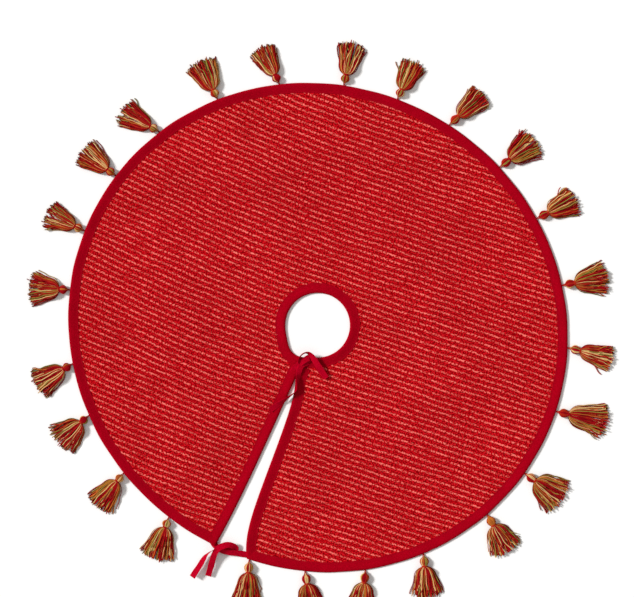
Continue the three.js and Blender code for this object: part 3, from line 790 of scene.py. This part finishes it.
def fringe_strands(rng, length, spread, neck_at):
    """Cut yarns that leave the neck, swell to the shoulders and fan out over the floor."""
    rows = [(30, 0), (32, 1), (32, 2), (24, 3)]
    lane, layer = [], []
    for many, level in rows:
        lane.append(np.linspace(-1, 1, many) + rng.normal(0, 0.035, many))
        layer.append(np.full(many, level))
    lane, layer = np.concatenate(lane), np.concatenate(layer)
    count, steps = len(lane), 17
    t = np.linspace(0, 1, steps)[None]
    # cut ends: a ragged arc, some yarns pulled short, a few left long
    reach = length - HEM_TO_BAR + 1.5 - 9 * lane**2 * spread / 70 + rng.normal(0, 2.2, count)
    reach += (rng.random(count) < 0.06) * rng.uniform(1, 6, count)
    reach -= (rng.random(count) < 0.16) * rng.uniform(3, 14, count)
    from_x = along_head(NECK_TO - 2.5, neck_at)
    x = from_x + t * (reach - from_x)[:, None]
    # locks: neighbours lean together and leave gaps between them
    locks = np.sort(rng.uniform(-1, 1, 11))
    nearest = locks[np.abs(lane[:, None] - locks).argmin(1)]
    lean_over = (nearest - lane) * rng.uniform(0.1, 0.6, count)
    gathered = lane[:, None] + lean_over[:, None] * ease(0.1, 0.85, t)
    width = 0.4 * (1 - np.exp(-t / 0.11)) + 0.6 * t**0.95
    side = np.clip(lane, -1, 1)
    start_a = np.pi / 2 + side * (0.5 + 0.46 * (layer < 1)) * -1.45
    start_y = 4.6 * np.cos(start_a)
    start_z = np.choose(layer, [-4.6, -1.5, 2.4, 4.8]) * np.abs(np.sin(start_a))
    crowd = 1 - 0.09 * layer  # the upper yarns spread a little less
    fan = gathered * (0.56 * spread * crowd)[:, None] * width
    y = start_y[:, None] * (1 - ease(0, 0.5, t)) + fan
    rest = 1.5 - BAR_HEIGHT + layer * 2.7 + rng.normal(0, 0.9, count)
    swell = 1.6 * np.exp(-(((t - 0.22) / 0.18) ** 2)) * layer[:, None]
    z = start_z[:, None] * (1 - ease(0, 0.34, t)) + rest[:, None] * ease(0, 0.42, t) + swell

    def wander(low, high):
        """One slow and one quick wave for each yarn, growing towards its cut end."""
        out = 0
        for most, least_turns, most_turns in ((high, 0.7, 1.6), (low, 2.2, 4.2)):
            turns, start = rng.uniform(least_turns, most_turns, count), rng.uniform(0, 6.28, count)
            size = rng.uniform(0.2, 1, count) * most
            out = out + size[:, None] * np.sin(2 * np.pi * t * turns[:, None] + start[:, None])
        return out * ease(0.04, 0.9, t)

    y = y + wander(0.8, 2.6)
    z = z + 0.5 * wander(0.9, 2.0)
    # the odd end curls aside
    curls = (rng.random(count) < 0.12)[:, None] * ease(0.6, 1, t)
    curl = curls * rng.choice([-1, 1], count)[:, None]
    y = y + curl * rng.uniform(4, 10, count)[:, None]
    x = x - np.abs(curl) * rng.uniform(2, 8, count)[:, None]
    path = np.stack([x, y, np.clip(z, 1.4 - BAR_HEIGHT, 5.5)], -1)
    radius = (0.75 + 0.5 * ease(0, 0.3, t)) * rng.uniform(0.84, 1.14, count)[:, None]
    colours = shades(rng, count, 1)
    # painted shade: the lower layers of yarn are coloured darker, as if shaded by the yarns over
    # them
    colours[:, :3] *= np.choose(layer, [0.62, 0.8, 0.94, 1.0])[:, None]
    return tubes(path, radius, 6, colours, first=(0, 0, 1))


def hem_wall(angle):
    """Middle to the hem's wall, where the CAD's facets run straight."""
    step = 360 / HEM_SEGMENTS
    a0 = math.floor(angle / step) * step
    ra, rb = float(hem_radius(a0)), float(hem_radius(a0 + step))
    ta, tb = math.radians(a0 - angle), math.radians(a0 + step - angle)
    return ra * rb * math.sin(tb - ta) / (rb * math.sin(tb) - ra * math.sin(ta))


def twisted_loop():
    """Two-ply cord out of the hem, round the fold of the yarn and back to the same stitch."""
    tilt = math.asin((BAR_HEIGHT - STITCH_HEIGHT) / LOOP_LENGTH)
    flat = curve_through([
        (-LOOP_LENGTH - 3.4, 0.5, 0), (-LOOP_LENGTH - 0.5, 0.9, 0), (-LOOP_LENGTH + 3, 1.6, 0),
        (-4.5, 3.0, 0), (-1.6, 4.0, 0), (-0.1, 3.2, 0), (0, 0, 0), (-0.1, -3.2, 0), (-1.6, -4.0, 0),
        (-4.5, -3.0, 0), (-LOOP_LENGTH + 3, -1.6, 0), (-LOOP_LENGTH - 0.5, -0.9, 0),
        (-LOOP_LENGTH - 3.4, -0.5, 0),
    ], 90)
    t = np.gradient(flat, axis=0)
    t /= np.linalg.norm(t, axis=1, keepdims=True)
    side = np.cross((0, 0, 1), t)
    run = np.r_[0, np.cumsum(np.linalg.norm(np.diff(flat, axis=0), axis=1))]
    turn = 2 * np.pi * run / 4.6
    up = np.array([0, 0, 1])
    plies = [
        flat + 0.55 * (side * np.cos(turn + a)[:, None] + np.sin(turn + a)[:, None] * up)
        for a in (0, np.pi)
    ]
    c, s = math.cos(tilt), math.sin(tilt)
    lines = np.array(plies) @ np.array([[c, 0, s], [0, 1, 0], [-s, 0, c]])
    return tubes(lines, np.full(lines.shape[:2], 0.72), 6, [srgb(178, 18, 28), srgb(200, 52, 34)])


loop_made = twisted_loop()
for number, ((angle, lean, length, spread), neck_at) in enumerate(zip(TASSELS, NECK_AT), 1):
    rng = np.random.default_rng(100 + number)
    heading = math.radians(angle + lean)
    stitch = hem_wall(angle) + STITCH_OFF
    place = np.array([
        stitch * math.cos(math.radians(angle)) + LOOP_REACH * math.cos(heading),
        stitch * math.sin(math.radians(angle)) + LOOP_REACH * math.sin(heading),
        BAR_HEIGHT,
    ])
    turn = np.array([
        [math.cos(heading), math.sin(heading), 0],
        [-math.sin(heading), math.cos(heading), 0],
        [0, 0, 1],
    ])
    tag = f"tassel_{number:02d}"
    co, faces, fields = loop_made
    piece(tag + "_cord", co @ turn + place, faces, tag + "_swing", cord_yarn, "tassel_cord",
          [tag + "_loop"], fields)
    co, faces, fields = joined([
        head_core(neck_at), head_strands(rng, neck_at), neck_wrap(rng, neck_at),
        fringe_strands(rng, length, spread, neck_at),
    ])
    piece(tag + "_yarn", co @ turn + place, faces, tag, yarn, "tassel_yarn", [tag + "_bundle"],
          fields)

# ---- floor --------------------------------------------------------------------------------------
FLOOR_HALF, FLOOR_DROP = 6000.0, 0.0004
CORNERS = ((-1, -1), (1, -1), (1, 1), (-1, 1))
floor = bpy.data.meshes.new("floor")
floor.from_pydata(
    [(a * FLOOR_HALF * MM, b * FLOOR_HALF * MM, -FLOOR_DROP) for a, b in CORNERS],
    [], [(0, 1, 2, 3)],
)
floor = bpy.data.objects.new("floor", floor)
bpy.context.scene.collection.objects.link(floor)
paper = Surface("pale_floor", 0.9, 0.1)
paper.colour((0.93, 0.93, 0.925, 1))
floor.data.materials.append(paper.material)
